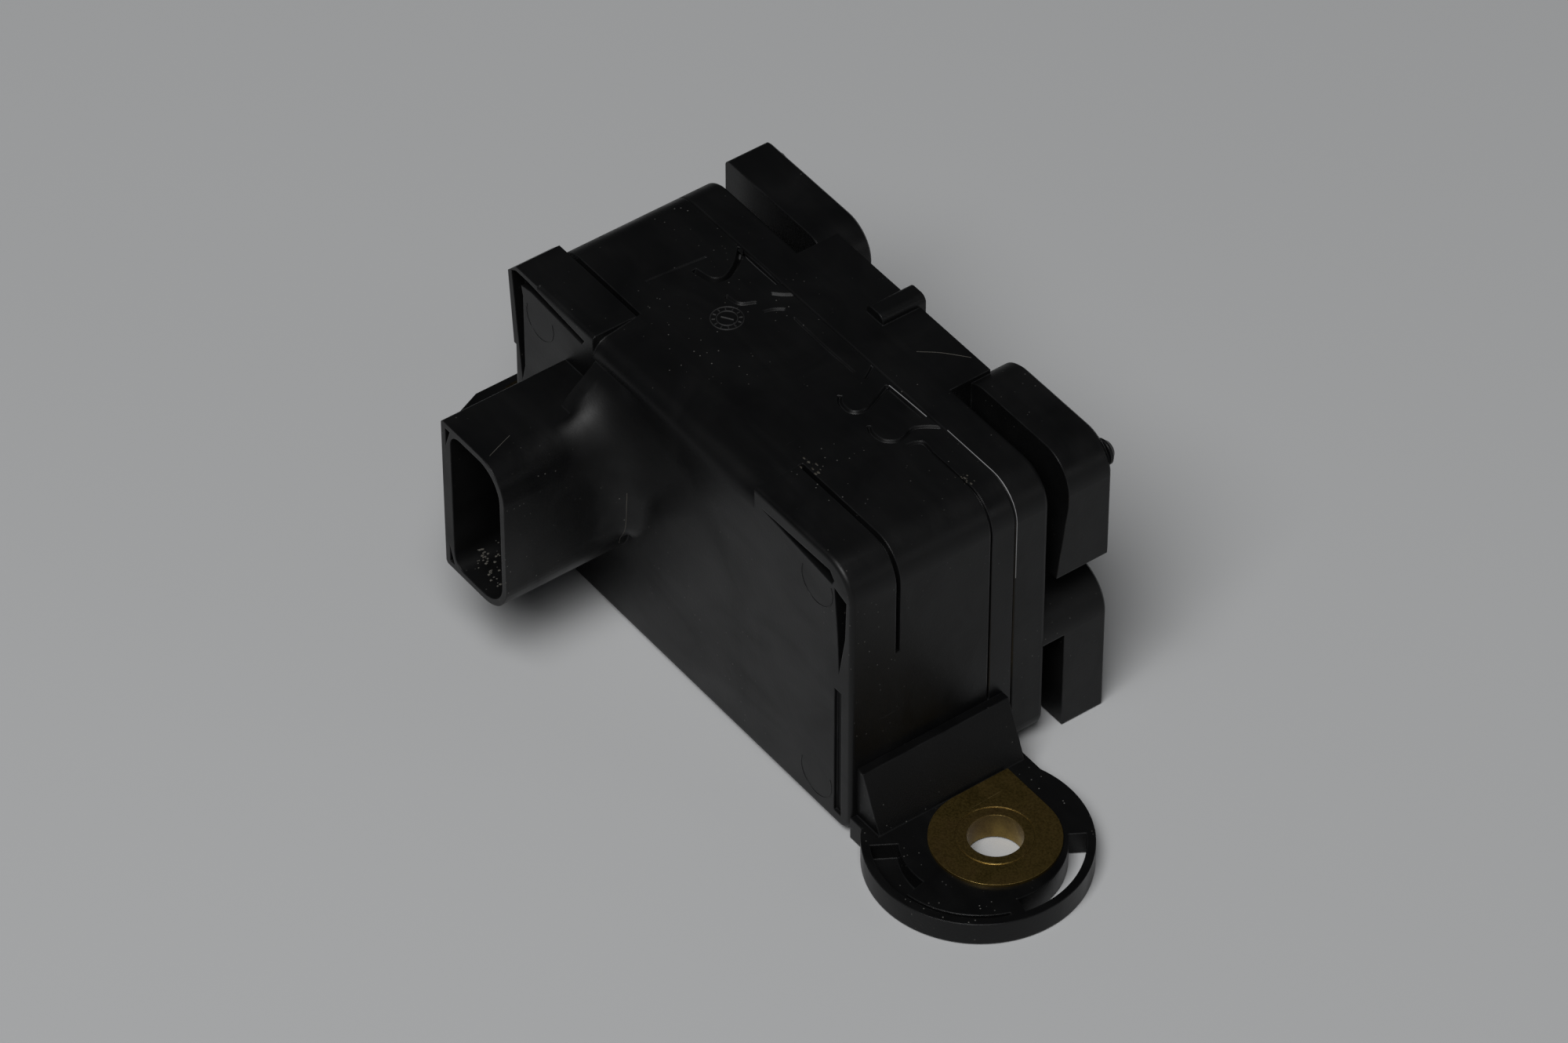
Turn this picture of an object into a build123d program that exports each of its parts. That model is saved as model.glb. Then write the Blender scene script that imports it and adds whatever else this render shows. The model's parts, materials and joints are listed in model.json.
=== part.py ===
import os
from math import cos, radians, sin

from build123d import *

# Acceleration sensor for a vehicle's stability control, in millimetres.
# The origin lies midway between the two fixing holes, on the mounting plane.
# X runs along the holes, -Y is the side with the connector, +Z is up.

# Fixing ears
HOLE_SPACING = 87.2
BORE_R = 3.2
BUSH_R = 4.6
BUSH_GAP = 0.3
FLANGE_R = 7.5
FAR_FLANGE_R = 5.0
FLANGE_T = 0.4
FLANGE_TOP = 3.4
SCRIBE_R = 4.5
SCRIBE_W = 0.2
SCRIBE_DEPTH = 0.1
EAR_R = 13.0
EAR_INSET = 1.0
EAR_Y = -1.6
EAR_FRONT = -11.0
EAR_BACK = 10.6
EAR_POCKET_FLOOR = 0.8
RIM_LINE_DEPTH = 0.5
FAR_EAR_END = -49.9
FAR_EAR_W = 19.0
FAR_EAR_CUT_X = 2.1
FAR_EAR_CUT_Y = 4.9
ROOT_T = 1.1
ROOT_RUN = 4.2
ROOT_W = 20.2
ROOT_TOP = 10.2

# Openings inside the near ear's rim: width, first and last angle
EAR_RIM = 1.0
CRESCENT = (2.0, -12, 58)
EAR_POCKET = (3.1, -122, -80)
RIM_LINE = (0.4, -80, -20)

# Body
NEAR_X = 31.6
FAR_X = -32.0
FRONT_Y = -11.0
SEAM_Y = 11.3
BOTTOM_Z = 0.0
TOP_Z = 39.7
NEAR_TOP_R = 4.5
FAR_TOP_R = 4.0
FAR_LIP_R = 1.6
FOOT_R = 2.6
LEAST_R = 0.5
WALL = 2.4
LIP_INSET = 0.35
LIP_H = 0.8
EDGE_R = 0.6
SEAM_CHAMFER = 0.15
OVERRUN = 1.0

# Raised corners of the front, and the lower saddle between them
SADDLE_X0 = -16.4
SADDLE_X1 = 13.8
SADDLE_Y = -4.7
SADDLE_DROP = 0.7
SADDLE_R = 2.4
CUT_W = 0.6
CUT_DEPTH = 1.1
CUT_DROP = 14.7
FLARE = 0.8
FLARE_H = 12.0
PARTING_Y = 8.0
PARTING_W = 0.3
PARTING_DEPTH = 0.4
PARTING_LENGTH = 11.5

# Slots and groove of the raised corners: distances in from the end and down from the top
SLOT_DEPTH = 1.7
NEAR_TOP_SLOT = ((16.4, 2.0), (3.6, 3.5), (3.2, 2.7), (4.0, 1.7))
NEAR_SIDE_SLOT = ((3.2, 3.7), (1.0, 4.5), (1.2, 10.1), (2.3, 16.3), (2.6, 10.1))
FAR_TOP_SLOT = ((0.8, 0.6), (3.0, 0.6), (14.0, 1.7), (13.5, 2.5), (3.6, 1.8), (1.8, 2.1))
FAR_SIDE_SLOT = ((-0.1, 1.1), (0.8, 0.6), (1.8, 2.1), (2.1, 3.5), (2.1, 14.1), (1.5, 16.7))
GROOVE_INSET = 2.4
GROOVE_W = 1.3
GROOVE_TOP_DROP = 18.8
GROOVE_FOOT = 1.9
GROOVE_DEPTH = 0.45

# Connector shroud
SHROUD_X0 = -22.1
SHROUD_X1 = -10.1
SHROUD_DROP = 7.2
SHROUD_H = 22.0
SHROUD_ROOT = 0.5
MOUTH_Y = -27.8
SHROUD_NEAR_R = 4.6
SHROUD_FAR_R = 0.5
SOCKET_FAR_WALL = 1.7
SOCKET_WALL = 0.8
SOCKET_NEAR_R = 3.9
SOCKET_FAR_R = 1.9
SOCKET_END_WALL = 1.6
POCKET_LONG = 2.6
POCKET_SHORT = 0.9
POCKET_DEPTH = 1.4

# Hollow blend of the shroud into the front: height, inset, reach and spread of each section
BLEND_DEPTH = 1.0
BLEND_LEAN = 0.06
BLEND_FALL = 0.42
BLEND_RUN = 0.38
BLEND_SIDE = ((4.0, 0.3, 0.8, 1.4), (10.0, 0.3, 2.4, 4.6), (16.0, 0.6, 4.4, 8.6))
BLEND_OVER = ((-1.6, 2.0, 5.6, 13.2), (1.4, 3.0, 3.4, 15.0))
BLEND_END = (3.4, 0.05, 15.4)

# Contacts
CONTACTS = 4
CONTACT_PITCH = 3.9
CONTACT_W = 1.5
CONTACT_T = 0.8
CONTACT_TIP = 4.8
CONTACT_TAIL = 0.8
CONTACT_GAP = 0.1
CONTACT_POINT = 0.3

# Back housing and its arms
BACK_BOTTOM_Z = 0.8
BACK_END_Y = 16.0
BACK_MID_Y = 21.3
MID_X0 = -14.2
MID_X1 = 14.0
BACK_WALL = 2.0
BACK_INSET = 2.8
MID_INSET = 2.9
ARM_Y0 = 18.7
ARM_Y1 = 24.7
ARM_T = 5.2
ARM_ROOT = 2.2
ARM_FAR_R = 0.8
ARM_EDGE = 0.3
UPPER_ARM_H = 16.2
LOWER_ARM_TOP = 19.2
LOWER_ARM_Z = 0.0
LOWER_ARM_R = 5.0
ARM_BEND_R = 1.5
ARM_TAPER = 1.4
ARM_TAPER_H = 10.0
ARM_TAPER_SINK = 0.2
NUB_R = 1.6
NUB_H = 0.9
NUB_ROUND = 0.6
NUB_INSET = 1.8
NUB_DROP = 2.5
SPINE_X = -0.3
SPINE_W = 3.0
SPINE_R = 0.9
SPINE_H = 1.2
SPINE_SINK = 3.0
SPINE_REACH = 0.8
SPINE_LENGTH = 6.0
VENT_R = 1.0
MEMBRANE_R = 3.0
MEMBRANE_T = 0.3

# Seal between the housings
SEAL_W = 0.8
SEAL_H = 0.9
SEAL_GAP = 0.2

# Board and its fixing
BOARD_MARGIN = 2.4
BOARD_T = 1.6
BOARD_Y = 0.0
BOARD_R = 1.5
POST_R = 2.9
POST_INSET_X = 4.0
POST_INSET_Z = 3.5
DAMPER_R = 2.8
DAMPER_BORE_R = 1.7
DAMPER_T = 1.5
SCREW_R = 1.1
SCREW_GAP = 0.3
SCREW_HEAD_R = 2.2
SCREW_HEAD_T = 1.3
SCREW_LENGTH = 7.0
SCREW_KEY_R = 1.1
SCREW_KEY_DEPTH = 0.7

# Parts on the board: name, x and z from the board's middle, width, height, thickness
PACKAGE_CHAMFER = 0.25
BACK_PARTS = (
    ("yaw_element", 8.7, 6.7, 12.0, 10.0, 3.2),
    ("acceleration_element", 9.2, -6.3, 8.0, 6.5, 2.4),
    ("controller", -6.3, -5.3, 9.0, 9.0, 1.4),
)
FRONT_PARTS = (
    ("transceiver", 2.2, 7.2, 5.0, 4.0, 1.5),
    ("regulator", 14.2, 6.7, 6.6, 6.2, 2.3),
    ("timing_crystal", 3.7, -3.3, 7.0, 3.4, 1.8),
    ("line_choke", -3.3, 7.7, 3.6, 3.0, 2.6),
)
CHIP_W = 2.0
CHIP_H = 1.2
CHIP_PITCH_X = 3.0
CHIP_PITCH_Z = 1.8
CHIP_ROWS = (("chip_capacitors", -2.3, 1.2, 0.9), ("chip_resistors", -6.3, 2.7, 0.5))
CAPACITOR_X = 14.7
CAPACITOR_Z = -5.3
CAPACITOR_R = 3.1
CAPACITOR_H = 4.9
CAPACITOR_FOOT = 6.6
CAPACITOR_FOOT_T = 0.8
SHIELD_X = 9.0
SHIELD_W = 15.6
SHIELD_H = 25.0
SHIELD_DEPTH = 4.8
SHIELD_T = 0.4

os.makedirs("parts", exist_ok=True)

HOLE_X = HOLE_SPACING / 2
SHROUD_Z1 = TOP_Z - SHROUD_DROP
SHROUD_Z0 = SHROUD_Z1 - SHROUD_H
EAR_X = HOLE_X - EAR_INSET
EAR_TOP = FLANGE_TOP - FLANGE_T
INNER_Y = FRONT_Y + WALL
SOCKET_X = (SHROUD_X0 + SOCKET_FAR_WALL + SHROUD_X1 - SOCKET_WALL) / 2
SOCKET_Z = (SHROUD_Z0 + SHROUD_Z1) / 2
SOCKET_FLOOR_Y = FRONT_Y - SOCKET_END_WALL
BODY_MID_X = (NEAR_X + FAR_X) / 2
BOARD_X = BODY_MID_X
BOARD_Z = (TOP_Z + BOTTOM_Z) / 2
BOARD_W = NEAR_X - FAR_X - 2 * WALL - 2 * BOARD_MARGIN
BOARD_H = TOP_Z - BOTTOM_Z - 2 * WALL - 2 * BOARD_MARGIN
BOARD_BACK_Y = BOARD_Y + BOARD_T
POST_DX = BOARD_W / 2 - POST_INSET_X
POST_DZ = BOARD_H / 2 - POST_INSET_Z
POST_END_Y = BOARD_Y - DAMPER_T
MID_X = (MID_X0 + MID_X1) / 2
BACK_MID_Z = (TOP_Z + BACK_BOTTOM_Z) / 2


def save(shape, name):
    shape.label = name
    export_step(shape, f"parts/{name}.step")


def wall_plane(y):
    """Plane that faces the front, at that place along Y: local x is X, local y is Z."""
    return Plane.XZ.offset(-y)


def end_outline(inset, bottom):
    """Outline of the body seen from the front, shrunk by inset, as a sketch."""
    width = NEAR_X - FAR_X - 2 * inset
    height = TOP_Z - bottom - 2 * inset
    with BuildSketch() as outline:
        with Locations((BODY_MID_X, (TOP_Z + bottom) / 2)):
            Rectangle(width, height)
        top = outline.vertices().group_by(Axis.Y)[-1].sort_by(Axis.X)
        fillet(top[-1], max(NEAR_TOP_R - inset, LEAST_R))
        top = outline.vertices().group_by(Axis.Y)[-1].sort_by(Axis.X)
        fillet(top[0], max(FAR_TOP_R - inset, LEAST_R))
        fillet(outline.vertices().group_by(Axis.Y)[0], max(FOOT_R - inset, LEAST_R))
    return outline.sketch


def socket_outline(far_wall, wall, near_r, far_r):
    """Shroud outline shrunk by its walls: square towards the far end, round towards the near."""
    x0 = SHROUD_X0 + far_wall
    x1 = SHROUD_X1 - wall
    with BuildSketch() as outline:
        with Locations(((x0 + x1) / 2, SOCKET_Z)):
            Rectangle(x1 - x0, SHROUD_Z1 - SHROUD_Z0 - 2 * wall)
        fillet(outline.vertices().group_by(Axis.X)[-1], near_r)
        fillet(outline.vertices().group_by(Axis.X)[0], far_r)
    return outline.sketch


def blend_section(z, inset, reach, spread):
    """Level section of the shroud's blend: a hollow curve from its side into the front."""
    start_x = SHROUD_X1 - inset
    x0 = SADDLE_X0 + LEAST_R
    start = (start_x, FRONT_Y - reach)
    end = (start_x + spread, FRONT_Y)
    with BuildSketch(Plane.XY.offset(z)) as section:
        with BuildLine():
            Bezier(
                start,
                (start_x + BLEND_LEAN * spread, FRONT_Y - BLEND_FALL * reach),
                (start_x + BLEND_RUN * spread, FRONT_Y),
                end,
            )
            Polyline(
                end,
                (start_x + spread, FRONT_Y + BLEND_DEPTH),
                (x0, FRONT_Y + BLEND_DEPTH),
                (x0, FRONT_Y - reach),
                start,
            )
        make_face()
    return section.sketch


def corner_slots(edge_x, side, slots):
    """Wedge slots under the lip of a raised front corner, as a sketch."""
    with BuildSketch() as outline:
        for slot in slots:
            with BuildLine():
                Polyline(*[(edge_x - side * inset, TOP_Z - drop) for inset, drop in slot], close=True)
            make_face()
    return outline.sketch


def holder_arm(side, end_x, inner_x, top_z, foot_z, end_r, webbed):
    """Arm of the back: it leaves the middle, runs outwards and turns down along the end."""
    mid = ((inner_x + end_x) / 2, (top_z + foot_z) / 2)
    width = abs(end_x - inner_x)
    with BuildSketch() as outline:
        with Locations(mid):
            Rectangle(width, top_z - foot_z)
        top = outline.vertices().group_by(Axis.Y)[-1].sort_by(Axis.X)
        fillet(top[-1] if side > 0 else top[0], end_r)
        top = outline.vertices().group_by(Axis.Y)[-1].sort_by(Axis.X)
        fillet(top[0] if side > 0 else top[-1], NEAR_TOP_R)
        with BuildSketch(mode=Mode.PRIVATE) as hollow:
            with Locations((mid[0] - side * ARM_T, mid[1] - ARM_T)):
                Rectangle(width, top_z - foot_z)
            bend = hollow.vertices().group_by(Axis.Y)[-1].sort_by(Axis.X)
            fillet(bend[-1] if side > 0 else bend[0], ARM_BEND_R)
        add(hollow.sketch, mode=Mode.SUBTRACT)
    with BuildPart() as arm:
        with BuildSketch(wall_plane(ARM_Y1)):
            add(outline.sketch)
        extrude(amount=ARM_Y1 - ARM_Y0)
        chamfer(arm.faces().sort_by(Axis.Y)[-1].outer_wire().edges(), ARM_EDGE)
        if webbed:
            # Web that ties the arm to the cover
            with BuildSketch(wall_plane(ARM_Y0 + LEAST_R)):
                add(outline.sketch)
                with Locations((mid[0], (top_z + top_z - ARM_T) / 2)):
                    Rectangle(width, ARM_T, mode=Mode.INTERSECT)
            extrude(amount=ARM_Y0 + LEAST_R - BACK_END_Y + EDGE_R)
        else:
            # Foot that comes nearer to the cover, and nub on the outer face
            with BuildSketch(Plane.YZ.offset(end_x)):
                with BuildLine():
                    Polyline(
                        (ARM_Y0 + ARM_TAPER_SINK, foot_z),
                        (ARM_Y0 - ARM_TAPER, foot_z),
                        (ARM_Y0, foot_z + ARM_TAPER_H),
                        (ARM_Y0 + ARM_TAPER_SINK, foot_z + ARM_TAPER_H),
                        close=True,
                    )
                make_face()
            extrude(amount=-side * ARM_T)
            with BuildSketch(wall_plane(ARM_Y1 + NUB_H)):
                with Locations((end_x - side * NUB_INSET, top_z - NUB_DROP)):
                    Circle(NUB_R)
            extrude(amount=NUB_H)
            chamfer(arm.faces().sort_by(Axis.Y)[-1].edges(), NUB_ROUND)
    return arm.part


def ear_sector(width, start, end):
    """Part of a ring inside the near ear's rim, between two angles, as a sketch."""
    outer_r = EAR_R - EAR_RIM
    corners = [(EAR_X, EAR_Y)]
    for angle in (start, (start + end) / 2, end):
        turn = radians(angle)
        corners.append((EAR_X + 2 * outer_r * cos(turn), EAR_Y + 2 * outer_r * sin(turn)))
    with BuildSketch() as sector:
        with Locations((EAR_X, EAR_Y)):
            Circle(outer_r)
            Circle(outer_r - width, mode=Mode.SUBTRACT)
        with BuildLine():
            Polyline(*corners, close=True)
        make_face(mode=Mode.INTERSECT)
    return sector.sketch


def ear_root(side, end_x):
    """Sloping root between the end of the body and the top of an ear."""
    with BuildPart() as root:
        with BuildSketch(wall_plane(ROOT_W / 2)):
            with BuildLine():
                Polyline(
                    (end_x, BOTTOM_Z),
                    (end_x, ROOT_TOP),
                    (end_x + side * ROOT_T, ROOT_TOP),
                    (end_x + side * ROOT_RUN, EAR_TOP),
                    (end_x + side * ROOT_RUN, BOTTOM_Z),
                    close=True,
                )
            make_face()
        extrude(amount=ROOT_W)
    return root.part


# Front housing: shell and shroud
with BuildPart() as front_housing:
    with BuildSketch(wall_plane(SEAM_Y)):
        add(end_outline(0, BOTTOM_Z))
    extrude(amount=SEAM_Y - FRONT_Y)
    fillet(front_housing.faces().sort_by(Axis.Y)[0].outer_wire().edges(), EDGE_R)
    chamfer(front_housing.faces().sort_by(Axis.Y)[-1].outer_wire().edges(), SEAM_CHAMFER)
    # Far raised corner leans outwards a little
    with BuildSketch(wall_plane(SADDLE_Y)):
        with BuildLine():
            Polyline(
                (FAR_X + FAR_TOP_R + OVERRUN, TOP_Z),
                (FAR_X + FAR_LIP_R - FLARE, TOP_Z),
                (FAR_X - FLARE, TOP_Z - FAR_LIP_R),
                (FAR_X, TOP_Z - FLARE_H),
                (FAR_X + FAR_TOP_R + OVERRUN, TOP_Z - FLARE_H),
                close=True,
            )
        make_face()
    extrude(amount=SADDLE_Y - FRONT_Y)
    # Saddle between the raised corners, rounded over towards the front
    with BuildSketch(Plane.YZ.offset(SADDLE_X0)):
        with BuildLine():
            crest = (FRONT_Y + SADDLE_R, TOP_Z - SADDLE_DROP)
            brow = (FRONT_Y, TOP_Z - SADDLE_DROP - SADDLE_R)
            clear_y = FRONT_Y - OVERRUN
            clear_z = TOP_Z + OVERRUN
            Polyline(
                crest,
                (SADDLE_Y, TOP_Z),
                (SADDLE_Y, clear_z),
                (clear_y, clear_z),
                (clear_y, brow[1]),
                brow,
            )
            RadiusArc(crest, brow, -SADDLE_R)
        make_face()
    extrude(amount=SADDLE_X1 - SADDLE_X0, mode=Mode.SUBTRACT)
    # Shroud
    with BuildSketch(wall_plane(FRONT_Y + SHROUD_ROOT)):
        add(socket_outline(0, 0, SHROUD_NEAR_R, SHROUD_FAR_R))
    extrude(amount=FRONT_Y + SHROUD_ROOT - MOUTH_Y)
    # Blend of the shroud into the front and up to the saddle
    levels = [blend_section(SHROUD_Z0 + rise, *shape) for rise, *shape in BLEND_SIDE]
    levels += [blend_section(SHROUD_Z1 + rise, *shape) for rise, *shape in BLEND_OVER]
    levels.append(blend_section(TOP_Z - SADDLE_DROP - SADDLE_R, *BLEND_END))
    loft(levels)
    # Cavity for the board, open towards the back
    with BuildSketch(wall_plane(SEAM_Y)):
        add(end_outline(WALL, BOTTOM_Z))
    extrude(amount=SEAM_Y - INNER_Y, mode=Mode.SUBTRACT)
    # Socket, and two small pockets in its rim
    with BuildSketch(wall_plane(SOCKET_FLOOR_Y)):
        add(socket_outline(SOCKET_FAR_WALL, SOCKET_WALL, SOCKET_NEAR_R, SOCKET_FAR_R))
    extrude(amount=SOCKET_FLOOR_Y - MOUTH_Y, mode=Mode.SUBTRACT)
    with BuildSketch(wall_plane(MOUTH_Y + POCKET_DEPTH)):
        for edge_z, turn in ((SHROUD_Z1 - SOCKET_WALL, -1), (SHROUD_Z0 + SOCKET_WALL, 1)):
            pocket_x = SHROUD_X0 + SOCKET_WALL
            with BuildLine():
                Polyline(
                    (pocket_x, edge_z),
                    (pocket_x + POCKET_SHORT, edge_z),
                    (pocket_x, edge_z + turn * POCKET_LONG),
                    close=True,
                )
            make_face()
    extrude(amount=POCKET_DEPTH, mode=Mode.SUBTRACT)
    # Slots under the lips of the raised corners
    with BuildSketch(wall_plane(FRONT_Y)):
        add(corner_slots(NEAR_X, 1, (NEAR_TOP_SLOT, NEAR_SIDE_SLOT)))
        add(corner_slots(FAR_X, -1, (FAR_TOP_SLOT, FAR_SIDE_SLOT)))
    extrude(amount=-SLOT_DEPTH, mode=Mode.SUBTRACT)
    # Shallow groove beside the near corner
    groove_foot = BOTTOM_Z + GROOVE_FOOT
    groove_top = TOP_Z - GROOVE_TOP_DROP
    with BuildSketch(wall_plane(FRONT_Y)):
        with Locations((NEAR_X - GROOVE_INSET, (groove_foot + groove_top) / 2)):
            Rectangle(GROOVE_W, groove_top - groove_foot)
    extrude(amount=-GROOVE_DEPTH, mode=Mode.SUBTRACT)
    # Cuts behind the raised corners, over the top and down each end
    for edge_x, start_x in ((NEAR_X, SADDLE_X1), (FAR_X, SADDLE_X0)):
        side = 1 if edge_x > 0 else -1
        with BuildSketch(wall_plane(SADDLE_Y + CUT_W / 2)):
            with Locations(((edge_x + start_x) / 2 + side * OVERRUN, TOP_Z - CUT_DROP / 2)):
                Rectangle(abs(edge_x - start_x) + 2 * OVERRUN, CUT_DROP)
            add(end_outline(CUT_DEPTH, BOTTOM_Z), mode=Mode.SUBTRACT)
        extrude(amount=CUT_W, mode=Mode.SUBTRACT)
    # Parting line of the moulding, over the near edge only
    with BuildSketch(wall_plane(PARTING_Y + PARTING_W / 2)):
        with Locations((NEAR_X - PARTING_LENGTH / 2, (TOP_Z + ROOT_TOP) / 2)):
            Rectangle(PARTING_LENGTH, TOP_Z - ROOT_TOP)
        add(end_outline(PARTING_DEPTH, BOTTOM_Z), mode=Mode.SUBTRACT)
    extrude(amount=PARTING_W, mode=Mode.SUBTRACT)
    # Lip round the foot of the body
    with BuildSketch(wall_plane(FRONT_Y)):
        with Locations((BODY_MID_X, BOTTOM_Z + LIP_H / 2)):
            Rectangle(NEAR_X - FAR_X, LIP_H)
    extrude(amount=-LIP_INSET, mode=Mode.SUBTRACT)
    # Posts for the board
    with BuildSketch(wall_plane(INNER_Y)):
        with Locations((BOARD_X, BOARD_Z)):
            with GridLocations(2 * POST_DX, 2 * POST_DZ, 2, 2):
                Circle(POST_R)
    extrude(amount=INNER_Y - POST_END_Y)
    with BuildSketch(wall_plane(POST_END_Y)):
        with Locations((BOARD_X, BOARD_Z)):
            with GridLocations(2 * POST_DX, 2 * POST_DZ, 2, 2):
                Circle(SCREW_R + SCREW_GAP)
    extrude(amount=SCREW_LENGTH, mode=Mode.SUBTRACT)
    # Passages of the contacts through the front
    with BuildSketch(wall_plane(INNER_Y)):
        with Locations((SOCKET_X, SOCKET_Z)):
            with GridLocations(1, CONTACT_PITCH, 1, CONTACTS):
                Rectangle(CONTACT_T + 2 * CONTACT_GAP, CONTACT_W + 2 * CONTACT_GAP)
    extrude(amount=INNER_Y - MOUTH_Y, mode=Mode.SUBTRACT)
    # Groove for the seal
    with BuildSketch(wall_plane(SEAM_Y)):
        add(end_outline(WALL / 2 - SEAL_W / 2 - SEAL_GAP, BOTTOM_Z))
        add(end_outline(WALL / 2 + SEAL_W / 2 + SEAL_GAP, BOTTOM_Z), mode=Mode.SUBTRACT)
    extrude(amount=SEAL_H, mode=Mode.SUBTRACT)
save(front_housing.part, "front_housing")

# Near ear: a round plate with a crescent opening, a pocket and a line inside its rim
with BuildPart() as ear_near:
    with BuildSketch():
        with Locations((EAR_X, EAR_Y)):
            Circle(EAR_R)
        with Locations(((NEAR_X + EAR_X) / 2, (EAR_FRONT + EAR_BACK) / 2)):
            Rectangle(EAR_X - NEAR_X, EAR_BACK - EAR_FRONT)
        with Locations((NEAR_X - EAR_R, EAR_Y)):
            Rectangle(2 * EAR_R, 2 * EAR_R, mode=Mode.SUBTRACT)
        add(ear_sector(*CRESCENT), mode=Mode.SUBTRACT)
    extrude(amount=EAR_TOP)
    with BuildSketch(Plane.XY.offset(EAR_TOP)):
        add(ear_sector(*EAR_POCKET))
    extrude(amount=EAR_POCKET_FLOOR - EAR_TOP, mode=Mode.SUBTRACT)
    with BuildSketch(Plane.XY.offset(EAR_TOP)):
        add(ear_sector(*RIM_LINE))
    extrude(amount=-RIM_LINE_DEPTH, mode=Mode.SUBTRACT)
    add(ear_root(1, NEAR_X))
    with BuildSketch():
        with Locations((HOLE_X, 0)):
            Circle(BUSH_R + BUSH_GAP)
    extrude(amount=EAR_TOP, mode=Mode.SUBTRACT)
save(ear_near.part, "ear_near")

# Far ear: a shorter plate with a flat end and cut corners
with BuildPart() as ear_far:
    with BuildSketch():
        with BuildLine():
            half = FAR_EAR_W / 2
            cut_x = FAR_EAR_END + FAR_EAR_CUT_X
            cut_y = half - FAR_EAR_CUT_Y
            Polyline(
                (FAR_X, -half),
                (cut_x, -half),
                (FAR_EAR_END, -cut_y),
                (FAR_EAR_END, cut_y),
                (cut_x, half),
                (FAR_X, half),
                close=True,
            )
        make_face()
    extrude(amount=EAR_TOP)
    add(ear_root(-1, FAR_X))
    with BuildSketch():
        with Locations((-HOLE_X, 0)):
            Circle(BUSH_R + BUSH_GAP)
    extrude(amount=EAR_TOP, mode=Mode.SUBTRACT)
save(ear_far.part, "ear_far")

# Back housing: cover with a deeper middle and four arms
arms = []
for side, end_x, root_x in ((1, NEAR_X, MID_X1), (-1, FAR_X, MID_X0)):
    inner_x = root_x - side * ARM_ROOT
    upper_r = NEAR_TOP_R if side > 0 else ARM_FAR_R
    lower_r = LOWER_ARM_R if side > 0 else ARM_FAR_R
    arms.append(holder_arm(side, end_x, inner_x, TOP_Z, TOP_Z - UPPER_ARM_H, upper_r, False))
    arms.append(holder_arm(side, end_x, inner_x, LOWER_ARM_TOP, LOWER_ARM_Z, lower_r, True))

with BuildPart() as back_housing:
    with BuildSketch(wall_plane(BACK_END_Y)):
        add(end_outline(0, BACK_BOTTOM_Z))
    extrude(amount=BACK_END_Y - SEAM_Y)
    fillet(back_housing.faces().sort_by(Axis.Y)[-1].outer_wire().edges(), EDGE_R)
    chamfer(back_housing.faces().sort_by(Axis.Y)[0].outer_wire().edges(), SEAM_CHAMFER)
    with BuildSketch(wall_plane(BACK_MID_Y)):
        with Locations((MID_X, BACK_MID_Z)):
            Rectangle(MID_X1 - MID_X0, TOP_Z - BACK_BOTTOM_Z)
    extrude(amount=BACK_MID_Y - BACK_END_Y + EDGE_R)
    add(arms)
    # Spine across the top
    with BuildSketch(wall_plane(BACK_MID_Y + SPINE_REACH)):
        with Locations((SPINE_X, TOP_Z + (SPINE_H - SPINE_SINK) / 2)):
            RectangleRounded(SPINE_W, SPINE_H + SPINE_SINK, SPINE_R)
    extrude(amount=SPINE_LENGTH)
    # Hollows on the inside
    with BuildSketch(wall_plane(BACK_END_Y - BACK_WALL)):
        add(end_outline(BACK_INSET, BACK_BOTTOM_Z))
    extrude(amount=BACK_END_Y - BACK_WALL - SEAM_Y, mode=Mode.SUBTRACT)
    with BuildSketch(wall_plane(BACK_MID_Y - BACK_WALL)):
        with Locations((MID_X, BACK_MID_Z)):
            Rectangle(MID_X1 - MID_X0 - 2 * WALL, TOP_Z - BACK_BOTTOM_Z - 2 * MID_INSET)
    extrude(amount=BACK_MID_Y - BACK_WALL - SEAM_Y, mode=Mode.SUBTRACT)
    # Vent hole
    with BuildSketch(wall_plane(BACK_MID_Y)):
        with Locations((MID_X, BOARD_Z)):
            Circle(VENT_R)
    extrude(amount=BACK_WALL, mode=Mode.SUBTRACT)
save(back_housing.part, "back_housing")

# Brass bushes: the near flange has a square corner that points to the body and back
for side, flange_r, name in ((1, FLANGE_R, "bush_near"), (-1, FAR_FLANGE_R, "bush_far")):
    with BuildPart() as bush:
        with BuildSketch():
            with Locations((side * HOLE_X, 0)):
                Circle(BUSH_R)
        extrude(amount=FLANGE_TOP)
        with BuildSketch(Plane.XY.offset(EAR_TOP)):
            with Locations((side * HOLE_X, 0)):
                Circle(flange_r)
            if side > 0:
                with Locations((HOLE_X - flange_r / 2, flange_r / 2)):
                    Rectangle(flange_r, flange_r)
        extrude(amount=FLANGE_T)
        # Scribed circle where the tube meets the flange
        with BuildSketch(Plane.XY.offset(FLANGE_TOP)):
            with Locations((side * HOLE_X, 0)):
                Circle(SCRIBE_R)
                Circle(SCRIBE_R - SCRIBE_W, mode=Mode.SUBTRACT)
        extrude(amount=-SCRIBE_DEPTH, mode=Mode.SUBTRACT)
        with BuildSketch():
            with Locations((side * HOLE_X, 0)):
                Circle(BORE_R)
        extrude(amount=FLANGE_TOP, mode=Mode.SUBTRACT)
    save(bush.part, name)

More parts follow.
